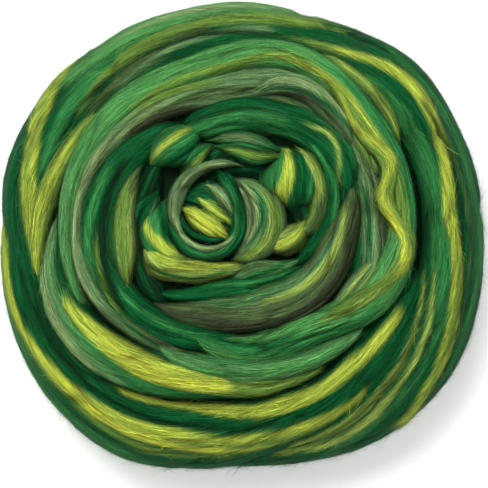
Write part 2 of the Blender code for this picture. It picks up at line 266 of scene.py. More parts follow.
def combed_wool():
    """Combed wool: the dye of each sliver, with the painted shade and highlight laid in it, broken into
    fine lighter and darker fibres.
    """
    material = bpy.data.materials.new("combed_wool")
    material.use_nodes = True
    nodes, links = material.node_tree.nodes, material.node_tree.links
    shader = nodes["Principled BSDF"]
    lay = nodes.new("ShaderNodeAttribute")
    lay.attribute_name = "lay"
    dye = nodes.new("ShaderNodeAttribute")
    dye.attribute_name = "dye"

    def fibres(layer):
        """Noise drawn out along the fibres."""
        stretch = nodes.new("ShaderNodeMapping")
        stretch.inputs["Scale"].default_value = (1.0 / layer.along, 1.0 / layer.across, 1.0)
        noise = nodes.new("ShaderNodeTexNoise")
        noise.noise_dimensions = "2D"
        noise.inputs["Scale"].default_value = 1.0
        noise.inputs["Detail"].default_value = layer.detail
        noise.inputs["Roughness"].default_value = LAYER_ROUGHNESS
        noise.inputs["Distortion"].default_value = layer.wander
        links.new(lay.outputs["Vector"], stretch.inputs["Vector"])
        links.new(stretch.outputs["Vector"], noise.inputs["Vector"])
        return noise.outputs["Fac"]

    def toned(colour, amount, layer):
        """The colour made darker where the noise is low and lighter where it is high."""
        spread = nodes.new("ShaderNodeMapRange")
        spread.inputs["From Min"].default_value, spread.inputs["From Max"].default_value = NOISE_RANGE
        spread.inputs["To Min"].default_value = layer.darkest
        spread.inputs["To Max"].default_value = layer.lightest
        links.new(amount, spread.inputs["Value"])
        scale = nodes.new("ShaderNodeVectorMath")
        scale.operation = "SCALE"
        links.new(colour, scale.inputs[0])
        links.new(spread.outputs["Result"], scale.inputs["Scale"])
        return scale.outputs["Vector"]

    colour = dye.outputs["Color"]
    for layer in WOOL_LAYERS:
        amount = fibres(layer)
        colour = toned(colour, amount, layer)
    links.new(colour, shader.inputs["Base Color"])
    relief = nodes.new("ShaderNodeBump")
    relief.inputs["Strength"].default_value = RELIEF_STRENGTH
    relief.inputs["Distance"].default_value = RELIEF_HEIGHT
    links.new(amount, relief.inputs["Height"])
    links.new(relief.outputs["Normal"], shader.inputs["Normal"])
    for socket, value in WOOL_FINISH.items():
        shader.inputs[socket].default_value = value
    return material


WOOL = combed_wool()


def finish_piece(piece):
    """Gives a piece its wool and says what it stands for."""
    piece.data.materials.clear()
    piece.data.materials.append(WOOL)
    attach(piece, "root")
    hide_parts("roving_nest")


finish_piece(buried_turns())

# ---------------------------------------------------------------------------------------------
# Outer turns. Three broad bands of roving wrap over the rim. Each is laid down flat and combed,
# so that its slivers of dye stay side by side along the whole turn.
# Band: a row for each turn, in millimetres and degrees, with values at even steps along it.
# Streak: a sliver laid on it, of another dye, of painted shade down a crease or of painted highlight,
# by its own radii; lift raises it, or sinks it as a crease.

Band = namedtuple("Band", "name centre start sweep radii half_widths crests depth dye")
Streak = namedtuple("Streak", "dye start sweep radii half_widths lift")

NEST = (0.0, 0.0)
ALONG_STEP = 1.8
ACROSS_STEP = 0.42
UNDER_POINTS = 9
UNDER_DEPTH = 3.5
LOBE_POWER = 2.4
END_LENGTH = 9.0
OVERLAP = 1.0
SOFTEN_ROWS = 15
SHARPEST_BEND = 90.0
# Painted shade: the colour is darkened towards each band's edges, where they dip into the crevices.
EDGE_PAINTED_SHADE = 0.5
EDGE_POWER = 6
FEWEST_ROWS = 16
FEWEST_COLUMNS = 14
CROWDING = 1.25
SHORTEST_END = 0.01
END_POWER = 0.8
LOWEST_POINT = 0.15
LAY_STRIDE = 97.0
SEED_STRIDE = 7

# Noise: its height, its length and width in millimetres, and its own step past the turn's seed.
Noise = namedtuple("Noise", "height along across seed")
NOISE_CELLS = 64
FRAYING = (Noise(0.4, 120.0, 1.6, 0), Noise(0.35, 70.0, 0.6, 1), Noise(0.5, 24.0, 40.0, 4))
RIDGES = (Noise(0.45, 70.0, 2.6, 2), Noise(0.25, 45.0, 1.1, 3))
SPLITS = (Noise(1.0, 50.0, 4.2, 5),)
SPLIT_WIDTH = 0.16
SPLIT_DEPTH = 1.3
# Painted shade along the splits between slivers.
SPLIT_PAINTED_SHADE = 0.5
STREAK_SOFTNESS = 1.7
STREAK_FADE = 6.0
THINNEST_STREAK = 0.05
LIFT_MARGIN = 0.6


def stretched_noise(along, across, noises, seed):
    """Smooth noise drawn out along the fibres, as the sum of a few noises."""
    total = np.zeros(along.shape)
    for noise in noises:
        draws = np.random.default_rng(seed + noise.seed)
        table = draws.uniform(-1.0, 1.0, (NOISE_CELLS, NOISE_CELLS))
        x, y = along / noise.along, across / noise.across
        column, row = np.floor(x).astype(int), np.floor(y).astype(int)
        right, up = x - column, y - row
        right, up = right * right * (3 - 2 * right), up * up * (3 - 2 * up)
        left_column, right_column = column % NOISE_CELLS, (column + 1) % NOISE_CELLS
        near_row, far_row = row % NOISE_CELLS, (row + 1) % NOISE_CELLS
        near = table[near_row, left_column] * (1 - right) + table[near_row, right_column] * right
        far = table[far_row, left_column] * (1 - right) + table[far_row, right_column] * right
        total += noise.height * (near * (1 - up) + far * up)
    return total


def dyed(band, streaks, angle, radius, along, across, seed):
    """Dye and lift at each point: the streaks, some of them painted shade in creases and painted
    highlight on crests, are laid over the band's own dye, with frayed edges.
    """
    fray = stretched_noise(along, across, FRAYING, seed)
    colour = np.tile(dye_colour(band.dye), angle.shape + (1,))
    lift = np.zeros(angle.shape)
    for streak in streaks:
        past = angle - streak.start
        if abs(streak.sweep) < 360:
            past = np.mod(past - streak.sweep / 2 + 180.0, 360.0) - 180.0 + streak.sweep / 2
        fraction = past / streak.sweep
        middle = smooth_values(streak.radii, fraction)
        half = np.maximum(smooth_values(streak.half_widths, fraction), THINNEST_STREAK)
        outside = np.maximum(-fraction, fraction - 1.0) * abs(math.radians(streak.sweep)) * middle
        fade = np.clip(1.0 - outside / STREAK_FADE, 0.0, 1.0)
        gap = np.abs(radius + fray - middle)
        cover = np.clip(0.5 + (half - gap) / STREAK_SOFTNESS, 0.0, 1.0) * fade
        cover = cover * cover * (3.0 - 2.0 * cover)
        colour += (dye_colour(streak.dye) - colour) * cover[..., None]
        raised = 1.0 - np.minimum(np.abs(radius - middle) / (half + LIFT_MARGIN), 1.0) ** 2
        lift += streak.lift * raised * fade
    return colour, lift


def softened(values):
    """Values along a band averaged with their neighbours, as where its edge slips over the rim."""
    window = np.hanning(SOFTEN_ROWS + 2)[1:-1]
    padded = np.pad(values, SOFTEN_ROWS // 2, mode="reflect", reflect_type="odd")
    return np.convolve(padded, window / window.sum(), mode="valid")


def band_section(columns):
    """Places round a band's section: how far to the side, from -1 to 1, and how far under."""
    on_top = np.sin(np.linspace(-1.0, 1.0, columns) * CROWDING) / math.sin(CROWDING)
    below = np.cos(np.linspace(0.0, math.pi, UNDER_POINTS + 2)[1:-1])
    side = np.concatenate([on_top, below])[None, :]
    under = np.concatenate([np.zeros(columns), np.sqrt(1.0 - below**2)])[None, :]
    return side, under


def band_on_nest(angle, radius, half, side):
    """A band wound round the nest: its own radii, its places across, and its reaches."""
    inner = softened(reach_of_radius(angle, radius - half))[:, None]
    outer = softened(reach_of_radius(angle, radius + half))[:, None]
    reach = (inner + outer) / 2 + side * (outer - inner) / 2
    return radius_of_reach(angle[:, None], reach), side * (outer - inner) / 2, reach


def band_off_centre(centre, angle, radius, half, side):
    """A band wound round another centre: its own radii, its places across, and where it lies."""
    own_radius = radius[:, None] + side * half[:, None]
    right = centre[0] + own_radius * np.cos(np.radians(angle[:, None]))
    up = centre[1] + own_radius * np.sin(np.radians(angle[:, None]))
    skin_angle = np.degrees(np.arctan2(up, right))
    reach = reach_of_radius(skin_angle, np.hypot(right, up))
    return own_radius, side * half[:, None], skin_angle, reach


def grain_and_bend(points):
    """The way that the fibres run at each point, and how fast it turns, per metre."""
    grain = np.gradient(points, axis=0)
    step = np.maximum(np.linalg.norm(grain, axis=-1, keepdims=True), TINY)
    grain /= step
    bend = np.gradient(grain, axis=0) / (step * MM)
    sharpness = np.linalg.norm(bend, axis=-1, keepdims=True) / SHARPEST_BEND
    return grain, bend / np.maximum(sharpness, 1.0)


def lay_band(band, streaks, seed, coarseness):
    """The points of a closed flattened tube along the band, with their vectors, and their dye with
    painted shade at its edges and down its splits.
    """
    length = abs(math.radians(band.sweep)) * max(band.radii)
    rows = max(FEWEST_ROWS, int(length / (ALONG_STEP * coarseness)))
    columns = max(FEWEST_COLUMNS, int(2 * max(band.half_widths) / (ACROSS_STEP * coarseness)))
    fraction = np.linspace(0.0, 1.0, rows)
    angle = band.start + band.sweep * fraction
    radius = smooth_values(band.radii, fraction)
    crest = smooth_values(band.crests, fraction)
    along = fraction * length
    from_end = np.minimum(along, length - along) / END_LENGTH
    rounding = np.sin(np.clip(from_end, SHORTEST_END, 1.0) * math.pi / 2) ** END_POWER
    half = (smooth_values(band.half_widths, fraction) + OVERLAP) * rounding
    side, under = band_section(columns)
    own_angle = np.repeat(angle[:, None], side.shape[1], axis=1)
    under = np.repeat(under, rows, axis=0)
    if band.centre == NEST:
        own_radius, across, reach = band_on_nest(angle, radius, half, side)
        skin_angle = own_angle
    else:
        own_radius, across, skin_angle, reach = band_off_centre(
            band.centre, angle, radius, half, side
        )
    along_grid = np.repeat(along[:, None], side.shape[1], axis=1) + LAY_STRIDE * seed
    round_over = 1.0 - np.sqrt(np.maximum(1.0 - np.abs(side) ** LOBE_POWER, 0.0))
    offset = crest[:, None] - band.depth * (round_over + (1.0 - rounding[:, None]))
    points, directions = skin(skin_angle, reach)
    if band.centre == NEST:
        own_radius = own_radius + offset * np.hypot(directions[..., 0], directions[..., 1])
    colour, lift = dyed(band, streaks, own_angle, own_radius, along_grid, across, seed)
    # Painted shade: darker towards the band's edges, where it dips into the crevices.
    colour *= (1.0 - EDGE_PAINTED_SHADE * np.abs(side) ** EDGE_POWER)[..., None]
    middles = np.abs(stretched_noise(along_grid, across, SPLITS, seed))
    splits = np.clip(1.0 - middles / SPLIT_WIDTH, 0.0, 1.0)
    ridges = stretched_noise(along_grid, across, RIDGES, seed) - SPLIT_DEPTH * splits
    # Painted shade: the colour is darker down the split grooves.
    colour *= (1.0 - SPLIT_PAINTED_SHADE * splits)[..., None]
    offset = offset - UNDER_DEPTH * under + (lift + ridges) * (under == 0)
    points = points + directions * offset[..., None]
    points[..., 2] = np.maximum(points[..., 2], LOWEST_POINT)
    grain, bend = grain_and_bend(points)
    lay = np.stack([along_grid, across, under], axis=-1) * MM
    return points, {"lay": lay, "grain": grain, "bend": bend}, colour


def band_faces(rows, columns, first, outward):
    """Quads along the tube, with a fan over each end."""
    faces = []
    for row in range(rows - 1):
        for column in range(columns):
            beside = (column + 1) % columns
            here, ahead = first + row * columns, first + (row + 1) * columns
            quad = (here + column, ahead + column, ahead + beside, here + beside)
            faces.append(quad if outward else quad[::-1])
    start_cap = tuple(first + column for column in range(columns))
    end_cap = tuple(first + (rows - 1) * columns + column for column in range(columns))
    caps = (start_cap, end_cap[::-1]) if outward else (start_cap[::-1], end_cap)
    return faces + list(caps)


def wound_piece(name, turns, coarseness=1.0):
    """One piece from several turns; each is a band with its streaks."""
    points, dye, faces, first = [], [], [], 0
    vectors = {"lay": [], "grain": [], "bend": []}
    for number, (band, streaks) in enumerate(turns):
        seed = sum(map(ord, band.name)) + SEED_STRIDE * number
        band_points, band_vectors, colour = lay_band(band, streaks, seed, coarseness)
        rows, columns = band_points.shape[:2]
        faces += band_faces(rows, columns, first, band.sweep < 0)
        first += rows * columns
        points.append(band_points.reshape(-1, 3))
        dye.append(colour.reshape(-1, 3))
        for label, values in band_vectors.items():
            vectors[label].append(values.reshape(-1, 3))
    vectors = {label: np.vstack(values) for label, values in vectors.items()}
    return wool_mesh(name, np.vstack(points), faces, vectors, np.vstack(dye))


def turn(band, *streaks):
    """One wound turn: its band, and the streaks laid on it in this order."""
    return band, streaks


outer_turns = (
    turn(
        Band("outer_left", NEST, 160, 190, (101.5, 100.5, 99.5, 95.5, 83.5, 78, 73.5, 76),
             (8.5, 9.5, 12, 16.5, 12.5, 9, 7.5, 2.5), (-3, 1, 1, 1, 1, 1, 0, -3), 7, "emerald"),
        Streak("lime", 233, 99, (80.5, 73, 72, 71, 70, 71.5), (1, 1.8, 2.7, 2.9, 2.6, 1.6), 0.8),
        Streak("lime", 178, 130, (99, 100, 97, 92.8, 88, 85, 82, 82),
               (0.8, 1.1, 2, 2.8, 3.8, 3, 2, 1), 0.8),
        Streak("yellow", 206, 72, (97.2, 94.4, 90.2, 86.2), (0.4, 1.3, 1.5, 0.5), 0.2),
        Streak("olive_lime", 250, 50, (88.6, 85.4, 83.4), (0.4, 1.3, 0.6), 0),
        Streak("olive_lime", 205, 60, (100.5, 98.5, 96.5, 91), (0.6, 1, 1.1, 0.8), 0),
        Streak("kelly", 183, 92, (102.5, 103.6, 103.4, 99), (1.2, 2, 2, 1), 0.3),
        Streak("painted_shade", 190, 90, (94, 90, 82.5, 78.5), (0.8, 1, 0.8, 0.6), -0.8),
    ),
    turn(
        Band("outer_top", NEST, 200, -156, (89, 96, 96.5, 93.5, 92, 93.5, 99),
             (3, 12, 13.5, 13.5, 13, 11, 4), (-5, 1, 1, 1, 1, 0, -4), 7, "emerald"),
        Streak("lime", 184, -50, (86.5, 89, 94.2, 98.8, 103), (1, 2.6, 3, 2.8, 2.2), 0.8),
        Streak("olive_lime", 173, -32, (89, 94.8, 100.2), (0.3, 1, 0.5), 0),
        Streak("olive_lime", 142, -88, (86, 89, 90, 91.8, 99), (1, 2, 2.4, 2.3, 1.5), 0.8),
        Streak("olive", 142, -40, (81, 83.5, 86.6), (1.2, 2, 1.2), 0),
        Streak("sage", 128, -44, (79.8, 83.8, 86.5), (1.2, 1.2, 0.8), 0.3),
        Streak("kelly", 160, -60, (87.5, 90, 93.5, 94.5), (1.6, 2.8, 2.4, 2), 0.3),
        Streak("bright", 138, -66, (97.5, 96.4, 95.6, 97), (2.2, 4.2, 3.8, 1.8), 0.3),
        Streak("cream", 126, -48, (97.4, 95.6, 95.8), (0.4, 1.1, 0.5), 0.1),
        Streak("painted_shade", 150, -70, (86.5, 86, 84.5), (0.7, 0.9, 0.7), -1.0),
    ),
    turn(
        Band("outer_right", NEST, 88, -200, (84, 93.5, 94, 93, 94.5, 98.5, 103),
             (2, 12, 15, 15.5, 17, 9.5, 5), (-2, 1, 1, 1, 1, 0, -4), 7, "emerald"),
        Streak("kelly", 50, -75, (82, 82, 81.5, 82, 90), (2.5, 3.5, 3.5, 4, 2), 0.4),
        Streak("olive_lime", 80, -34, (82.4, 86.5, 93.2), (0.8, 1.8, 1.6), 0.6),
        Streak("lime", 62, -111, (86, 93, 90.5, 86, 90.5, 96, 101.5),
               (0.8, 2.3, 2.5, 2.6, 2.5, 2, 1.8), 0.8),
        Streak("olive_lime", 0, -42, (87.6, 93.2, 99.4), (0.3, 1.1, 0.6), 0),
        Streak("pale_lime", 348, -68, (80.5, 85.5, 89.2, 92.8, 91), (0.5, 1, 1.3, 1.4, 0.8), 0.6),
        Streak("pale_lime", 346, -68, (76.5, 81.4, 85.4, 88.4, 88), (0.5, 1.1, 1.4, 1.4, 0.7), 0.6),
        Streak("painted_shade", 344, -60, (79, 83.4, 87.3, 90.6), (0.3, 0.5, 0.5, 0.3), -0.8),
        Streak("olive", 38, -62, (94.6, 94, 94, 98), (0.3, 0.4, 0.4, 0.3), 0.1),
        Streak("kelly", 50, -84, (98, 98, 98.4, 101.5), (0.8, 1.2, 1.2, 0.6), 0.2),
        Streak("painted_shade", 36, -55, (92.5, 92, 91, 94.5), (0.6, 0.8, 0.8, 0.6), -0.8),
        Streak("kelly", 340, -50, (88.6, 93, 96.4), (0.8, 1.2, 0.8), 0.2),
    ),
)
finish_piece(wound_piece("outer_turns", outer_turns))

# ---------------------------------------------------------------------------------------------
# Bright ring. The turn of bright green and lime that lies highest, from the left over the top and
# down the right, and spreads out below; and the lime turn that comes out from under it.

bright_turns = (
    # The lime sliver along its lower half is a painted highlight.
    turn(
        Band("lime_fork", NEST, 192, -54, (87.5, 85, 82.3, 80, 78.5), (0.6, 2.4, 3.2, 2.6, 1),
             (0, 2, 2, 2, 1), 4, "olive_lime"),
        Streak("lime", 190, -38, (86.8, 84, 81), (0.8, 2, 1), 0),
    ),
    turn(
        Band("green_fold", NEST, 232, 92, (58, 56.5, 56, 58, 63), (1, 4.4, 4.6, 3.6, 1.2),
             (-1, 1, 1, 1, -1), 5, "fern"),
        Streak("kelly", 240, 78, (53, 52, 53, 56), (0.8, 1, 1, 0.8), 0),
        Streak("bright", 246, 66, (57.5, 57, 57.5, 60), (0.6, 1.4, 1.4, 0.6), 0.2),
    ),
    turn(
        Band("lime_lower", NEST, 172, 132, (79, 82, 77.5, 68, 62, 62.5, 64),
             (2, 6, 8.5, 9, 7, 4, 2), (-4, 0, 1, 1, 0, -1, -4), 6, "emerald"),
        Streak("kelly", 196, 60, (80, 77.5, 70), (3, 3.4, 2), 0.2),
        Streak("sage", 174, 54, (79.5, 84, 83.4, 78.5), (2.4, 4.8, 3.8, 1.4), 0.4),
        Streak("fern", 186, 40, (80.8, 81.4, 78), (0.8, 1.8, 1.4), 0),
        Streak("cream", 186, 36, (83.2, 84.4, 83), (0.4, 1.6, 0.7), 0.1),
        Streak("lime", 202, 76, (77, 70, 65, 61.5, 63.5), (2, 4.6, 5, 4.4, 3), 0.8),
        Streak("yellow", 212, 52, (72.5, 68.5, 65.2, 62.8), (0.6, 2.4, 2.6, 1), 0.2),
        Streak("olive_lime", 268, 38, (63.5, 62.8, 64.5), (3, 2.2, 1.5), 0.3),
    ),
    turn(
        Band("kink", NEST, 66, -112,
             (74.2, 70, 64.9, 64.8, 68.1, 57.8, 64.5, 68, 63, 55, 50.5, 48),
             (0.6, 1.2, 1.8, 2.2, 3, 3, 2.6, 2.4, 2.2, 1.8, 1.4, 0.6),
         (2, 3, 4, 4, 5, 4, 4, 4, 4, 3, 2), 4, "olive_lime"),
        Streak("lime", 56, -38, (70.5, 65.4, 66, 69, 60), (0.4, 1, 1.4, 2, 1.6), 0.2),
        Streak("lime", 20, -48, (58.4, 60.4, 66.6, 67.6, 60), (1.6, 2, 2.2, 1.8, 0.8), 0.2),
        Streak("yellow", 12, -20, (59.8, 63.6, 66.8), (0.5, 0.9, 0.7), 0.1),
    ),
    turn(
        Band("lime_strand", NEST, 67, -38, (83, 80.8, 79.4, 77.8, 75), (0.6, 1.4, 1.6, 1.4, 0.6),
             (0, 2, 2, 2, 0), 3, "olive_lime"),
        Streak("pale_lime", 64, -32, (82.5, 80, 76), (0.4, 0.7, 0.4), 0.2),
    ),
    turn(
        Band("bright_ring", NEST, 204, -322, (73, 73.8, 74.4, 72, 78, 70.6, 67.6, 61, 47.5, 47.5, 46),
             (0.6, 2.4, 4.2, 5.5, 5, 5.4, 3.8, 7.5, 6.5, 5.5, 2), (0, 2, 2, 2, 2, 3, 3, 3, 2, 1, -3), 6,
             "bright"),
        Streak("fern", 198, -40, (74.5, 75, 76), (1.2, 1.8, 1.2), 0),
        Streak("cream", 198, -44, (69.5, 70, 70.4), (1.2, 1, 0.7), 0.2),
        Streak("olive_lime", 130, -174, (70, 69.5, 70, 76.5, 73, 67.5, 67.3, 66, 66.3, 56, 48),
               (1, 1.7, 1.9, 2, 2.2, 2.6, 2.4, 2.6, 3.3, 2.6, 1.4), 0.8),
        Streak("lime", 76, -40, (75.5, 73, 68), (0.5, 1, 0.8), 0.3),
        Streak("pale_lime", 4, -36, (66.2, 63.8, 53.5), (0.6, 1.4, 0.7), 0.1),
        Streak("kelly", 64, -110, (78, 73.6, 71.4, 70.4, 60), (1.2, 2.8, 2.2, 1.8, 2), 0),
        Streak("kelly", 330, -80, (62, 51, 47, 46), (2, 3, 2.5, 1.5), 0),
        Streak("painted_shade", 322, -44, (56, 49, 46), (0.4, 0.6, 0.4), -1.2),
        Streak("emerald", 296, -44, (45.5, 45, 44), (0.8, 1, 0.8), -0.6),
    ),
)
finish_piece(wound_piece("bright_turns", bright_turns))

# ---------------------------------------------------------------------------------------------
# Sunken turns. Between the bright ring and the centre lie softer turns, partly in shade: sage and
# cream above, dark green down the left, and lime beside it.

sunken_turns = (
    turn(
        Band("sage_ring", NEST, 246, -224, (54, 60, 67.5, 69.5, 68, 64.5, 62.5, 66, 63, 60),
             (1.5, 3, 1.8, 0.6, 2.6, 5.6, 6, 7.4, 5.5, 4), (-3, -1, 1, 1, 0, 0, -1, -1, -1, -2), 5,
             "sage"),
        Streak("olive", 240, -84, (54, 59.5, 64, 65.5), (1, 1.8, 1.4, 1), 0),
        Streak("emerald", 232, -70, (57.5, 63, 66.5), (0.5, 0.8, 0.5), -0.4),
        Streak("brown", 244, -50, (53, 56.5, 61.5), (0.6, 1, 0.8), 0.2),
        Streak("cream", 214, -64, (64.5, 69.3, 69.8, 68.5), (0.8, 1.2, 1.3, 1.5), 0.4),
        Streak("cream", 152, -52, (68.8, 65.4, 64, 62, 60), (1.5, 1, 0.8, 0.8, 0.6), 0.3),
        Streak("olive", 152, -36, (67, 66.6, 65.4), (0.2, 0.5, 0.3), -0.2),
        Streak("olive_lime", 128, -26, (67.5, 66.3, 64.5), (1, 1.3, 1), 0.3),
        Streak("olive", 134, -66, (61, 61, 60.5), (1.2, 1.8, 1.8), 0),
        Streak("painted_shade", 138, -40, (62.6, 62.6, 62.2), (0.3, 0.5, 0.3), -0.8),
        Streak("brown", 136, -34, (63, 58.5, 53.5), (1.4, 2.6, 1.6), 0.3),
        Streak("olive", 76, -46, (72, 66, 59), (1, 1.4, 1.6), 0),
        Streak("olive_lime", 46, -24, (62.5, 61.5, 59.5), (1, 1.6, 1.2), 0.3),
    ),
    turn(
        Band("sage_lobe", NEST, 89, -52, (56.5, 64.5, 66, 63.5, 61, 59), (1, 3.2, 3.8, 3.6, 3.4, 2),
             (-1, 4, 6, 5, 3, 0), 8, "sage"),
        Streak("cream", 86, -46, (61, 67.3, 67.6, 65.4, 62.6), (0.6, 1.1, 1.2, 1, 0.7), 0.4),
        Streak("emerald", 82, -42, (61.5, 64.4, 63.6, 60.6), (0.6, 1.1, 1.1, 0.6), -0.8),
        Streak("brown", 84, -42, (58, 62, 61.6, 59), (0.6, 1, 1, 0.6), 0),
    ),
    turn(
        Band("sage_tail", NEST, 36, -66, (59.5, 56.4, 54.6, 56.5, 57), (3, 4.6, 4.8, 5, 3),
             (-3, -1, -1, -1, -3), 5, "sage"),
        Streak("olive", 32, -56, (61.5, 60.5, 61, 60), (1.2, 1.8, 2, 1), 0.2),
        Streak("brown", 26, -40, (57.5, 56.5, 57), (0.8, 1.2, 0.8), 0),
        Streak("emerald", 22, -40, (53, 51.4, 52.2), (0.6, 0.9, 0.6), -0.4),
    ),
    turn(
        Band("dark_left", NEST, 118, 150, (54, 59, 61.5, 57.5, 47.5, 41),
             (3, 7, 8, 7, 6, 3.5), (-4, -2, -1, -2, -2, -4), 5, "emerald"),
        Streak("kelly", 156, 50, (62.5, 63.5, 64), (1.6, 1.8, 1), 0.3),
        Streak("olive_lime", 182, 40, (60.5, 60.5, 58), (0.6, 0.8, 0.5), 0.3),
        Streak("painted_shade", 150, 60, (57.5, 58, 57.5), (1.6, 1.8, 1.2), -0.4),
        Streak("kelly", 206, 44, (55, 49, 44.5), (0.8, 1.2, 1), 0.3),
    ),
    turn(
        Band("right_hollow", NEST, 34, -70, (54, 52.5, 52, 50), (5, 7, 7, 5), (-5, -4, -4, -5), 4,
             "emerald"),
        Streak("painted_shade", 30, -60, (54, 54.5, 53), (1.5, 2, 1.5), -0.4),
    ),
    # A band of painted shade, near black, fills the hollow on the left.
    turn(
        Band("left_hollow", NEST, 134, 90, (47, 44, 43, 42.5, 43, 42), (4, 6, 6.5, 6.5, 5.5, 4),
             (-6, -5, -6, -6, -5, -4), 5, "painted_shade"),
        Streak("emerald", 140, 76, (46, 44.4, 45, 44.5), (0.8, 1, 1.2, 0.8), 0.3),
    ),
    turn(
        Band("hollow_lobe", NEST, 151, 30, (39.2, 41, 42.4, 43.4), (2.2, 3.8, 3.6, 1.4),
             (-2, 1, 0, -3), 6, "emerald"),
        Streak("fern", 154, 20, (38.2, 39.6, 41.6), (0.5, 1.1, 0.6), 0.3),
        Streak("painted_shade", 153, 24, (41.6, 43.2, 44.4), (0.3, 0.5, 0.3), -0.6),
    ),
    turn(
        Band("lime_left", NEST, 145, 60, (51.9, 50.6, 50, 49.6, 52.5), (0.8, 3.2, 5.2, 5, 0.8),
             (-1, 1, 2, 2, -1), 5, "olive"),
        Streak("olive_lime", 154, 46, (51.2, 50.6, 50, 51), (0.8, 2.4, 3, 1.4), 0.2),
        Streak("pale_lime", 160, 38, (47.6, 46.8, 46.6, 48), (0.3, 0.6, 0.8, 0.4), 0.2),
        Streak("emerald", 150, 44, (53.6, 54.6, 54.2), (0.5, 0.9, 0.7), -0.3),
    ),
    turn(
        Band("green_right", NEST, 68, -96, (49, 49, 43.5, 36, 30, 24), (3, 4.6, 5, 4.8, 4, 2.2),
             (-2, -1, -2, -2, -3, -4), 5, "emerald"),
        Streak("kelly", 54, -60, (47.5, 42, 34), (0.9, 1.2, 0.9), 0.3),
        Streak("painted_shade", 40, -50, (48.5, 42, 35), (0.7, 1, 0.7), -0.6),
    ),
    turn(
        Band("green_inner", NEST, 124, -105, (50, 49.5, 51, 51.5, 53, 52, 46),
             (3, 6, 6.8, 6.2, 6.6, 6, 2.4), (-2, 0, 0, 0, 0, 0, -2), 6, "kelly"),
        Streak("emerald", 118, -56, (52.4, 55.6, 56), (1.4, 2.4, 1.6), 0.3),
        Streak("painted_shade", 114, -50, (50.5, 52.5, 52.8), (0.5, 0.6, 0.5), -0.9),
        Streak("emerald", 100, -30, (46.6, 46, 47), (1, 1.4, 1), 0),
        Streak("emerald", 66, -46, (52, 51, 46), (4, 6, 4), 0),
        Streak("pale_lime", 58, -26, (53.5, 55.2, 52, 46), (0.5, 0.8, 0.8, 0.4), 0.3),
    ),
)
finish_piece(wound_piece("sunken_turns", sunken_turns))

# ---------------------------------------------------------------------------------------------
# Cradle. The innermost full turns, in brown, olive, lime and sage, curve round below the centre
# like a saucer and hold the curled end.

CRADLE = (-20.0, 15.0)
cradle_turns = (
    turn(
        Band("wedge", NEST, -3, -42, (61, 56, 51.8, 50, 49), (4.5, 5, 4.8, 3.8, 1.4),
             (-1, 0, 0, 0, -1), 5, "sage"),
        Streak("pale_lime", -8, -34, (57.5, 53.5, 50.8), (0.9, 1.2, 0.8), 0.3),
        Streak("emerald", -6, -34, (54.5, 50.5, 48.6), (0.6, 0.8, 0.6), -0.3),
        Streak("pale_lime", -12, -28, (53, 49.5, 48), (0.5, 0.7, 0.5), 0.2),
    ),
    turn(
        Band("cradle_dark", NEST, 212, 128, (43, 28, 22.6, 21.6, 22.3, 25, 30),
             (3, 4, 4, 3.6, 3.4, 3.2, 2), (-3, -1, 0, 0, 0, -1, -3), 4, "emerald"),
        Streak("kelly", 230, 94, (24.6, 20.3, 19.6, 20.4, 23.4), (0.7, 1, 1.1, 1, 0.7), 0.4),
    ),
    turn(
        Band("cradle_green", NEST, 252, 88, (18, 15, 14.2, 17.2, 25.5), (2, 3.2, 3.6, 3.6, 2.2),
             (-2, 0, 0, -1, -3), 4, "fern"),
        Streak("olive", 268, 54, (15, 14.4, 17), (0.8, 1.2, 0.9), 0.2),
        Streak("emerald", 262, 66, (18, 17, 20.5), (0.8, 1, 0.8), -0.3),
    ),
    turn(
        Band("inner_ring", NEST, 27, -170, (50.5, 40.8, 36.9, 34, 31, 31.6, 35.4, 46),
             (0.9, 6.5, 7.3, 8.3, 8.1, 7, 5.8, 1.6), (0, 2, 3, 3, 3, 2, 1, -1), 6, "olive"),
        Streak("brown", 16, -158, (47, 44.6, 41.8, 39, 36.8, 37.2, 45), (1, 2, 2.3, 2.3, 2.2, 2, 1.2),
               0),
        Streak("sage", 20, -150, (43, 35.5, 30.2, 27.8, 28, 33), (1, 1.8, 2.2, 2.2, 2, 1.4), 0.3),
        Streak("pale_lime", 14, -84, (42.5, 37.2, 32.4, 28.8), (0.8, 1.5, 1.5, 0.8), 0.4),
        Streak("emerald", 10, -120, (39.5, 33, 28.6, 27, 30), (0.4, 0.6, 0.5, 0.5, 0.4), -0.4),
        Streak("fern", -30, -90, (27.8, 25.4, 26.2, 30), (0.8, 1.3, 1.3, 0.8), 0.3),
    ),
    # Its lime sliver down the brighter middle is painted highlight, and the emerald sliver along the
    # lower edge is painted shade.
    turn(
        Band("cradle_lime", CRADLE, 222, 90, (27.5, 29.5, 28.6, 28.8, 31, 34.5),
             (3, 5, 4.8, 3.8, 2.2, 1), (0, 2, 2, 2, 1, -1), 5, "pale_lime"),
        Streak("lime", 228, 70, (27.5, 28.2, 28.2, 30), (1.2, 2, 1.6, 0.8), 0.4),
        Streak("emerald", 230, 62, (33.8, 33, 32.2), (0.7, 0.9, 0.6), -0.3),
    ),
)
finish_piece(wound_piece("cradle_turns", cradle_turns))

# ---------------------------------------------------------------------------------------------
# Centre. The rope's last stretch is folded over itself: three humps round the top, a fan of sage
# and lime on the right, and in the middle the end, curled round and tucked in.

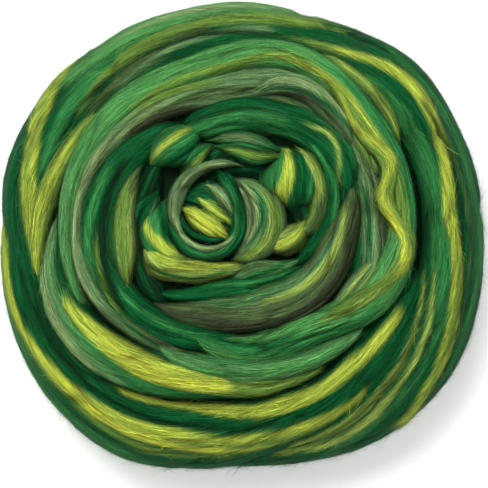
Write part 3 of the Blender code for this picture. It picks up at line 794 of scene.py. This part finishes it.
CURL = (-15.3, 8.2)
SLIT = (-31.9, -20.1)
GLOBE = (8.0, 14.0)
HUMP = (-5.0, 22.0)
centre_turns = (
    # The narrow lime sliver on the olive-lime one is a painted highlight.
    turn(
        Band("upper_lobe", NEST, 144, -34, (48.5, 47, 46.2, 46.2, 47), (4.6, 8, 9, 8, 4.6),
             (-2, 3, 4, 3, -2), 9, "kelly"),
        Streak("olive_lime", 141, -27, (48.6, 49.2, 49), (0.8, 1.9, 0.8), 0.4),
        Streak("lime", 136, -16, (48.6, 49), (0.5, 0.5), 0.2),
        Streak("emerald", 140, -26, (43.2, 41.8, 42.6), (1.6, 2.4, 1.6), 0),
    ),
    turn(
        Band("small_lobe", NEST, 136, -29, (36, 37, 39.8), (3.2, 5, 3.2), (-2, 2, -2), 7,
             "emerald"),
        Streak("olive_lime", 130, -18, (35.2, 35.8, 38.4), (0.6, 1.3, 0.6), 0.4),
        Streak("kelly", 131, -19, (38.6, 39.6, 41), (0.8, 1, 0.8), 0.3),
    ),
    turn(
        Band("top_upper", NEST, 110, -44, (42, 41, 40, 38.8, 38), (2, 3, 3.4, 3, 1.6),
             (-1, 0, 0, 0, -2), 4, "kelly"),
        Streak("sage", 104, -24, (41, 40.2, 39), (0.8, 1.8, 0.8), 0.4),
        Streak("cream", 100, -14, (41.4, 40.6), (0.5, 0.6), 0.2),
        Streak("emerald", 106, -36, (43.6, 43, 42), (0.8, 1, 0.8), 0),
        Streak("painted_shade", 104, -32, (38.6, 37.8, 36.8), (0.4, 0.5, 0.4), -0.8),
    ),
    turn(
        Band("top_lower", NEST, 108, -46, (38.8, 35.6, 33.4, 33.4, 36.4), (1, 3, 3.8, 3.4, 1),
             (-1, 2, 3, 2, 0), 6, "kelly"),
        Streak("olive_lime", 100, -34, (36.2, 34.4, 34.2, 36), (0.7, 1.4, 1.6, 0.8), 0.4),
        Streak("painted_shade", 100, -28, (37, 35.9, 36.2), (0.3, 0.4, 0.3), -0.7),
    ),
    turn(
        Band("globe_rim", GLOBE, 58, -106, (26.8, 25, 24, 23.4, 22.8, 21.8, 20.6),
             (1.4, 2.8, 3.4, 3.2, 2.6, 2.2, 1), (0, 2, 1, 0, -1, -1, -2), 6, "olive_lime"),
        Streak("pale_lime", 48, -54, (25.4, 24, 23.2), (0.8, 1.6, 1), 0.3),
        Streak("olive", 4, -50, (24.4, 22.6, 20.8), (1, 1.8, 1.2), 0),
    ),
    turn(
        Band("globe_foot", GLOBE, -22, -66, (18.6, 19, 19, 18.6, 18),
             (1.6, 3.6, 4.4, 4, 1.6), (-2, 1, 2, 2, 0), 6, "pale_lime"),
        Streak("lime", -34, -46, (19.4, 19, 18.4), (0.6, 1.6, 1), 0.2),
        Streak("olive_lime", -26, -56, (21.8, 22.2, 21.6), (0.6, 1.1, 0.8), 0),
    ),
    turn(
        Band("right_globe", HUMP, 34, -62, (25.4, 24.8, 24, 24.3, 25.5), (6.4, 9.5, 11.4, 10.4, 6.5),
             (1, 4, 5, 3, -2), 9, "kelly"),
        Streak("lime", 30, -54, (27.2, 25.4, 23, 21.4, 21.4), (1.5, 2.6, 2.9, 2.8, 1.6), 0.6),
        Streak("emerald", 32, -58, (29.4, 29.6, 29.4, 29, 28.6), (1.6, 2.4, 2.8, 2.4, 1.6), 0),
        Streak("painted_shade", 28, -52, (28.6, 28.4, 26.6, 25.4), (0.4, 0.5, 0.5, 0.4), -0.8),
    ),
    turn(
        Band("left_lobe", CURL, 160, 86, (17.5, 20.5, 22.3, 22, 20), (3, 5.2, 5.8, 4.8, 2.4),
             (-1, 1, 2, 1, 0), 6, "kelly"),
        Streak("lime", 192, 54, (25, 22.5, 20.3, 19.5), (1.4, 2.6, 2.2, 1), 0.5),
        Streak("emerald", 164, 44, (18.5, 18, 17.5), (1, 1.2, 1), -0.3),
    ),
    turn(
        Band("fan", CURL, 52, -114, (18.5, 20.6, 23, 24, 24, 22.6, 20.3),
             (1.5, 4, 7, 8, 7, 4, 1.4), (0, 3, 4, 4, 4, 3, 0), 7, "sage"),
        Streak("cream", 46, -80, (17.4, 17.6, 18, 18.8), (0.7, 1.1, 1.1, 0.7), 0.4),
        Streak("brown", 42, -76, (18.9, 19.3, 19.5, 19.5), (0.4, 0.9, 0.9, 0.5), -0.6),
        Streak("cream", 36, -64, (20.4, 21.2, 21.3, 20.6), (0.5, 0.8, 0.8, 0.5), 0.3),
        Streak("emerald", 36, -70, (21.8, 23.2, 22.8, 20.8), (0.5, 1, 1, 0.5), -0.6),
        Streak("emerald", 26, -50, (23.6, 25, 24.4), (0.2, 0.4, 0.2), -0.3),
        Streak("olive_lime", 24, -80, (26.5, 28.6, 28.2, 25, 21.6), (0.8, 2.4, 2.9, 2.4, 1), 0.3),
        Streak("pale_lime", 4, -56, (28, 27, 24), (0.6, 1.2, 0.8), 0.2),
    ),
    # A band of painted shade, near black, fills the hollow round the centre.
    turn(
        Band("centre_hollow", NEST, 158, -176, (24, 31, 31, 30, 28), (6, 9, 9, 9, 6),
             (-7, -6, -6, -6, -7), 3, "painted_shade"),
        Streak("emerald", 150, -160, (30, 36, 34, 32), (0.8, 1.4, 1.4, 0.8), 0.4),
        Streak("emerald", 140, -140, (25, 27, 26), (0.6, 1, 0.6), 0.4),
    ),
    turn(
        Band("curl_floor", SLIT, 80, -47, (35.5, 36, 36, 36.5), (6, 10, 10, 6), (2, 3.5, 3.5, 2), 3,
             "emerald"),
        Streak("painted_shade", 77, -42, (34.8, 33.9, 33.7, 34.4), (0.6, 1.5, 1.5, 0.6), -1.6),
    ),
    turn(
        Band("curl_pale", SLIT, 68.6, -22.7, (44.4, 44.2, 43, 41.6, 39.6), (1, 2, 2.3, 2, 1),
             (6, 6, 6, 6, 6), 4, "sage"),
        Streak("cream", 67, -20, (44.8, 43.4, 40.4), (0.5, 0.9, 0.5), 0.3),
    ),
    turn(
        Band("curl_olive", SLIT, 72, -31, (38.6, 37.4, 36.8, 36.8, 37.6), (1.4, 2.2, 2.4, 2.2, 1.4),
             (5, 5.5, 5.5, 5.5, 5), 4, "olive_lime"),
        Streak("lime", 68, -24, (37, 35.8, 36.4), (0.5, 1, 0.6), 0.3),
    ),
    turn(
        Band("curl_lime", SLIT, 80, -46, (32.4, 30.8, 30.1, 30.6, 32), (1.6, 2.8, 3.2, 2.8, 1.6),
             (5, 6, 6.5, 6, 5), 4, "lime"),
        Streak("yellow", 72, -32, (31, 30.2, 30.8), (0.5, 1.2, 0.6), 0),
    ),
    turn(
        Band("curl_inner", CURL, 158, 172, (11.6, 10.4, 9.6, 9.2, 10.6, 12.8),
             (0.3, 0.5, 0.6, 0.7, 0.6, 0.3), (4, 5, 5, 5, 5, 4), 4, "emerald"),
    ),
    # The kelly sliver along its middle is a painted highlight.
    turn(
        Band("curl_outer", CURL, 80, -260, (19.4, 14.6, 13.6, 14.9, 16.2, 16, 14.9, 14.6),
             (3.4, 2.4, 2, 2.3, 1.7, 1.5, 1, 0.6), (0, 5, 6, 6, 6, 5, 4, 2), 5, "emerald"),
        Streak("kelly", 60, -180, (15.6, 13.2, 14.4, 16.4, 16), (0.4, 0.7, 0.7, 0.6, 0.4), 0.2),
    ),
    turn(
        Band("curl", CURL, 56, 282, (25, 20.6, 17, 14.4, 13.3, 12.8, 13.2, 13.9, 14.1, 13.4),
             (0.6, 1.1, 2.1, 2.4, 1.2, 0.5, 0.4, 0.4, 0.3, 0.2), (2, 4, 6, 7, 7, 6, 6, 6, 6, 5), 4,
             "sage"),
        Streak("brown", 64, 118, (22.8, 18.8, 15.4, 13.6), (0.7, 1.4, 1.5, 0.5), 0.1),
        Streak("painted_shade", 70, 100, (20.6, 17.2, 14.4), (0.2, 0.35, 0.2), -0.6),
        Streak("cream", 70, 250, (22.6, 16.4, 12.8, 13.6, 14.2), (0.3, 0.5, 0.5, 0.5, 0.4), 0.2),
    ),
)
finish_piece(wound_piece("centre_turns", centre_turns))

# ---------------------------------------------------------------------------------------------
# Side and underside. Lower turns are stacked below the rim, and the first ones are wound flat
# under the nest, pressed level where it lies. Their slivers keep their places across the rope.

Sliver = namedtuple("Sliver", "dye place half_width lift")

SIDE_SLIVERS = (
    Sliver("lime", 0.45, 2.2, 0.6),
    Sliver("kelly", 0.0, 1.8, 0.3),
    Sliver("sage", -0.4, 1.3, 0.2),
    # This sliver, sunk in a crease, is painted shade.
    Sliver("painted_shade", -0.62, 0.7, -0.8),
    Sliver("olive_lime", 0.82, 1.0, 0.3),
)


def along_turn(band, slivers):
    """Streaks that keep their places across a turn, from -1 at its inner edge to 1 at its outer."""
    edges = np.asarray(band.radii, float)
    halves = smooth_values(band.half_widths, np.linspace(0.0, 1.0, len(edges)))
    return tuple(
        Streak(
            sliver.dye, band.start, band.sweep, tuple(edges + sliver.place * halves),
            (sliver.half_width, sliver.half_width), sliver.lift,
        )
        for sliver in slivers
    )


side_bands = (
    Band("side_wrap", NEST, 40, 760, (109, 117, 124, 131, 137, 142),
         (7, 9.5, 9.5, 9.5, 9, 7), (-3, 0, 0, 0, 0, -2), 6, "emerald"),
    Band("under_spiral", NEST, 0, 1440, (146, 163, 180, 197, 214),
         (8, 9.5, 9.5, 9.5, 8), (1, 2, 2, 2, 2), 4, "emerald"),
)
side_turns = tuple(turn(band, *along_turn(band, SIDE_SLIVERS)) for band in side_bands)
SIDE_COARSENESS = 4.0
finish_piece(wound_piece("side_turns", side_turns, SIDE_COARSENESS))

# ---------------------------------------------------------------------------------------------
# Loose fibres. Combed wool has single fibres and fine wisps lying free along its surface, and some
# stand off it. They are scattered over each wound piece as narrow tapered ribbons that start from the
# surface, follow its grain and its bend, and keep the dye, with its painted shade, of their root.

FIBRE_POINTS = 5
LOWEST_FIBRE = 0.3 * MM
TOP_ONLY = 0.05 * MM
BOW = 18.0
FULLNESS = 1.02
TAPER = 0.6
FAR_DOWN = -9.0

# Chance: a number that each fibre draws for itself, and the input that scales it, if any.
Chance = namedtuple("Chance", "label low high scaled_by")
CHANCES = (
    Chance("span", 0.45, 1.3, "Length"),
    Chance("slant", -1.0, 1.0, "Stray"),
    Chance("curve", -1.0, 1.0, "Stray"),
    Chance("rise", 0.1, 1.0, "Lift"),
    Chance("tip", -1.0, 3.0, "Lift"),
    Chance("tilt", -0.8, 0.8, None),
    Chance("tone", 0.4, 1.6, None),
    Chance("borrow", -0.6 * MM, 0.6 * MM, None),
)


def add_node(tree, kind, sockets=None, **settings):
    """Adds a node with its settings, and links or sets the inputs named in sockets."""
    node = tree.nodes.new(kind)
    for name, value in settings.items():
        setattr(node, name, value)
    for socket, value in (sockets or {}).items():
        if isinstance(value, bpy.types.NodeSocket):
            tree.links.new(value, node.inputs[socket])
        else:
            node.inputs[socket].default_value = value
    return node


def maths(tree, operation, *values):
    sockets = dict(enumerate(values))
    return add_node(tree, "ShaderNodeMath", sockets, operation=operation).outputs[0]


def vectors(tree, operation, *values):
    sockets = dict(enumerate(values))
    return add_node(tree, "ShaderNodeVectorMath", sockets, operation=operation).outputs[0]


def scaled(tree, vector, amount):
    sockets = {0: vector, "Scale": amount}
    return add_node(tree, "ShaderNodeVectorMath", sockets, operation="SCALE").outputs[0]


def named(tree, label, kind="FLOAT_VECTOR"):
    """Reads a value that the surface or the fibres carry."""
    sockets = {"Name": label}
    return add_node(tree, "GeometryNodeInputNamedAttribute", sockets, data_type=kind).outputs[0]


def stored(tree, geometry, label, value, kind="FLOAT_VECTOR"):
    """Gives each point a value to carry."""
    sockets = {"Geometry": geometry, "Name": label, "Value": value}
    return add_node(
        tree, "GeometryNodeStoreNamedAttribute", sockets, data_type=kind, domain="POINT"
    ).outputs[0]


def fibre_roots(tree, given):
    """Points scattered over the seen side of a wound piece, each with its own draws."""
    lay = add_node(tree, "ShaderNodeSeparateXYZ", {0: named(tree, "lay")}).outputs
    sockets = {
        "Mesh": given["Geometry"],
        "Selection": maths(tree, "LESS_THAN", lay["Z"], TOP_ONLY),
        "Density": given["Density"],
        "Seed": given["Seed"],
    }
    scatter = add_node(tree, "GeometryNodeDistributePointsOnFaces", sockets).outputs
    place = add_node(tree, "GeometryNodeInputPosition").outputs[0]
    roots = stored(tree, scatter["Points"], "root", place)
    roots = stored(tree, roots, "up", scatter["Normal"])
    for number, chance in enumerate(CHANCES, 1):
        seed = maths(tree, "ADD", given["Seed"], float(number))
        sockets = {2: chance.low, 3: chance.high, "Seed": seed}
        draw = add_node(tree, "FunctionNodeRandomValue", sockets, data_type="FLOAT").outputs[1]
        if chance.scaled_by:
            draw = maths(tree, "MULTIPLY", draw, given[chance.scaled_by])
        roots = stored(tree, roots, chance.label, draw, "FLOAT")
    return roots


def straight_fibres(tree, roots):
    """A straight fibre of a few points at each root, still to be laid."""
    line = add_node(tree, "GeometryNodeCurvePrimitiveLine", {"End": (1.0, 0.0, 0.0)}).outputs[0]
    sockets = {"Curve": line, "Count": FIBRE_POINTS}
    line = add_node(tree, "GeometryNodeResampleCurve", sockets).outputs[0]
    sockets = {"Points": roots, "Instance": line}
    copies = add_node(tree, "GeometryNodeInstanceOnPoints", sockets).outputs[0]
    return add_node(tree, "GeometryNodeRealizeInstances", {"Geometry": copies}).outputs[0]


def laid_fibres(tree, fibres, from_middle, squared, aside):
    """The fibres laid along the grain from their roots, with their wander, bow and lift."""
    half_span = maths(tree, "MULTIPLY", named(tree, "span", "FLOAT"), 0.5)
    along = maths(tree, "MULTIPLY", from_middle, half_span)
    along_squared = maths(tree, "MULTIPLY", along, along)
    wander = maths(tree, "MULTIPLY", along, named(tree, "slant", "FLOAT"))
    bow = maths(tree, "MULTIPLY", along_squared, BOW)
    bow = maths(tree, "MULTIPLY", bow, named(tree, "curve", "FLOAT"))
    wander = maths(tree, "ADD", wander, bow)
    tip = maths(tree, "MULTIPLY", squared, named(tree, "tip", "FLOAT"))
    lift = maths(tree, "ADD", named(tree, "rise", "FLOAT"), tip)
    bent = scaled(tree, named(tree, "bend"), maths(tree, "MULTIPLY", along_squared, 0.5))
    path = vectors(tree, "ADD", named(tree, "root"), scaled(tree, named(tree, "grain"), along))
    path = vectors(tree, "ADD", path, bent)
    path = vectors(tree, "ADD", path, scaled(tree, aside, wander))
    path = vectors(tree, "ADD", path, scaled(tree, named(tree, "up"), lift))
    path = vectors(tree, "MAXIMUM", path, (FAR_DOWN, FAR_DOWN, LOWEST_FIBRE))
    sockets = {"Geometry": fibres, "Position": path}
    fibres = add_node(tree, "GeometryNodeSetPosition", sockets).outputs[0]
    tilt = scaled(tree, aside, named(tree, "tilt", "FLOAT"))
    sockets = {"Curve": fibres, "Normal": vectors(tree, "ADD", named(tree, "up"), tilt)}
    return add_node(tree, "GeometryNodeSetCurveNormal", sockets, mode="FREE").outputs[0]


def dyed_fibres(tree, given, fibres, aside):
    """Each point takes the dye and painted shade of the surface a little beside it, in the fibre's own
    tone.
    """
    place = add_node(tree, "GeometryNodeInputPosition").outputs[0]
    beside = scaled(tree, aside, named(tree, "borrow", "FLOAT"))
    sockets = {
        "Mesh": given["Geometry"],
        "Value": named(tree, "dye", "FLOAT_COLOR"),
        "Sample Position": vectors(tree, "ADD", place, beside),
    }
    below = add_node(
        tree, "GeometryNodeSampleNearestSurface", sockets, data_type="FLOAT_COLOR"
    ).outputs[0]
    return stored(
        tree, fibres, "dye", scaled(tree, below, named(tree, "tone", "FLOAT")), "FLOAT_COLOR"
    )


def tapered_ribbons(tree, given, fibres, squared):
    """The fibres as flat ribbons in wool, widest in the middle."""
    taper = maths(tree, "POWER", maths(tree, "SUBTRACT", FULLNESS, squared), TAPER)
    sockets = {"Start": (0.0, -0.5, 0.0), "End": (0.0, 0.5, 0.0)}
    profile = add_node(tree, "GeometryNodeCurvePrimitiveLine", sockets).outputs[0]
    width = maths(tree, "MULTIPLY", given["Width"], taper)
    sockets = {"Curve": fibres, "Profile Curve": profile, "Scale": width}
    ribbons = add_node(tree, "GeometryNodeCurveToMesh", sockets).outputs[0]
    sockets = {"Geometry": ribbons, "Material": given["Material"]}
    return add_node(tree, "GeometryNodeSetMaterial", sockets).outputs[0]


def fibre_tree():
    tree = bpy.data.node_groups.new("loose_fibres", "GeometryNodeTree")
    tree.interface.new_socket("Geometry", in_out="OUTPUT", socket_type="NodeSocketGeometry")
    tree.interface.new_socket("Geometry", in_out="INPUT", socket_type="NodeSocketGeometry")
    for name in ("Density", "Length", "Width", "Lift", "Stray"):
        tree.interface.new_socket(name, in_out="INPUT", socket_type="NodeSocketFloat")
    tree.interface.new_socket("Seed", in_out="INPUT", socket_type="NodeSocketInt")
    tree.interface.new_socket("Material", in_out="INPUT", socket_type="NodeSocketMaterial")
    given = tree.nodes.new("NodeGroupInput").outputs
    factor = add_node(tree, "GeometryNodeSplineParameter").outputs["Factor"]
    from_middle = maths(tree, "SUBTRACT", maths(tree, "MULTIPLY", factor, 2.0), 1.0)
    squared = maths(tree, "MULTIPLY", from_middle, from_middle)
    aside = vectors(tree, "CROSS_PRODUCT", named(tree, "up"), named(tree, "grain"))
    fibres = straight_fibres(tree, fibre_roots(tree, given))
    fibres = laid_fibres(tree, fibres, from_middle, squared, aside)
    fibres = dyed_fibres(tree, given, fibres, aside)
    end = tree.nodes.new("NodeGroupOutput")
    tree.links.new(tapered_ribbons(tree, given, fibres, squared), end.inputs[0])
    return tree


def fibre_piece(name, host, amounts, tree):
    """Loose fibres over one wound piece, as one joined mesh."""
    grower = bpy.data.objects.new(name + "_grower", bpy.data.objects[host].data)
    bpy.context.scene.collection.objects.link(grower)
    modifier = grower.modifiers.new("fibres", "NODES")
    modifier.node_group = tree
    sockets = {
        item.name: item.identifier
        for item in tree.interface.items_tree
        if item.in_out == "INPUT" and item.name != "Geometry"
    }
    modifier[sockets["Material"]] = WOOL
    for label, value in amounts.items():
        modifier[sockets[label]] = value
    graph = bpy.context.evaluated_depsgraph_get()
    mesh = bpy.data.meshes.new_from_object(grower.evaluated_get(graph))
    grower.modifiers.remove(modifier)
    bpy.data.objects.remove(grower)
    mesh.name = name
    mesh.shade_smooth()
    piece = bpy.data.objects.new(name, mesh)
    bpy.context.scene.collection.objects.link(piece)
    return piece


# Growth: fibres to each square metre, their length, width and lift in millimetres, and their stray.
Growth = namedtuple("Growth", "name host density length width lift stray seed")
GROWTHS = (
    Growth("outer_fibres", "outer_turns", 5.4e5, 20.0, 0.16, 0.3, 0.16, 11),
    Growth("bright_fibres", "bright_turns", 8.6e5, 17.0, 0.16, 0.3, 0.16, 12),
    Growth("sunken_fibres", "sunken_turns", 8.2e5, 14.0, 0.16, 0.3, 0.17, 13),
    Growth("cradle_fibres", "cradle_turns", 11.0e5, 12.0, 0.15, 0.24, 0.14, 14),
    Growth("centre_fibres", "centre_turns", 10.0e5, 8.0, 0.15, 0.24, 0.14, 15),
    Growth("side_fibres", "side_turns", 0.6e5, 30.0, 0.35, 0.3, 0.06, 16),
    Growth("outer_strays", "outer_turns", 12.0e4, 9.0, 0.1, 0.8, 0.9, 17),
    Growth("bright_strays", "bright_turns", 10.0e4, 8.0, 0.09, 0.7, 0.9, 20),
    Growth("centre_strays", "centre_turns", 9.0e4, 7.0, 0.07, 0.8, 0.9, 18),
    Growth("sunken_strays", "sunken_turns", 10.0e4, 8.0, 0.08, 0.8, 0.9, 19),
    Growth("outer_fuzz", "outer_turns", 10.0e4, 6.0, 0.07, 1.5, 1.2, 21),
)
FIBRES = fibre_tree()
for growth in GROWTHS:
    amounts = {
        "Density": growth.density,
        "Length": growth.length * MM,
        "Width": growth.width * MM,
        "Lift": growth.lift * MM,
        "Stray": growth.stray,
        "Seed": growth.seed,
    }
    finish_piece(fibre_piece(growth.name, growth.host, amounts, FIBRES))

# ---------------------------------------------------------------------------------------------
# Stage. The nest lies on wide white paper under an even white sky, with one soft lamp beyond its
# top edge. The camera looks straight down, from far enough to flatten the view.

PAPER_REACH = 3.0
PAPER_FINISH = {
    "Base Color": (0.9, 0.9, 0.9, 1.0),
    "Roughness": 0.9,
    "Emission Color": (1.0, 1.0, 1.0, 1.0),
    "Emission Strength": 0.14,
}
SKY_STRENGTH = 0.88
LAMP_POWER = 28.0
LAMP_SIZE = 0.9
LAMP_PLACE = (-0.32, 0.68, 1.3)
CAMERA_PLACE = (0.0004, -0.0033, 2.45)
SENSOR_WIDTH = 36.0
FRAME_WIDTH = 0.2025
FRAME_PLANE = 0.045


def stage_object(name, data, place):
    placed = bpy.data.objects.new(name, data)
    placed.location = place
    bpy.context.scene.collection.objects.link(placed)
    return placed


far, near = PAPER_REACH, -PAPER_REACH
floor_mesh = bpy.data.meshes.new("floor")
corners = [(near, near, 0), (far, near, 0), (far, far, 0), (near, far, 0)]
floor_mesh.from_pydata(corners, [], [(0, 1, 2, 3)])
paper = bpy.data.materials.new("paper")
paper.use_nodes = True
for socket, value in PAPER_FINISH.items():
    paper.node_tree.nodes["Principled BSDF"].inputs[socket].default_value = value
floor_mesh.materials.append(paper)
floor = stage_object("floor", floor_mesh, (0.0, 0.0, 0.0))

world = bpy.data.worlds.new("studio")
world.use_nodes = True
world.node_tree.nodes["Background"].inputs["Color"].default_value = (1.0, 1.0, 1.0, 1.0)
world.node_tree.nodes["Background"].inputs["Strength"].default_value = SKY_STRENGTH
bpy.context.scene.world = world

lamp_data = bpy.data.lights.new("key", "AREA")
lamp_data.energy = LAMP_POWER
lamp_data.size = LAMP_SIZE
lamp = stage_object("key", lamp_data, LAMP_PLACE)
lamp.rotation_euler = lamp.location.to_track_quat("Z", "Y").to_euler()

camera_data = bpy.data.cameras.new("camera")
camera_data.sensor_width = SENSOR_WIDTH
camera_data.lens = SENSOR_WIDTH * (CAMERA_PLACE[2] - FRAME_PLANE) / FRAME_WIDTH
bpy.context.scene.camera = stage_object("camera", camera_data, CAMERA_PLACE)
bpy.context.scene.view_settings.view_transform = "Standard"
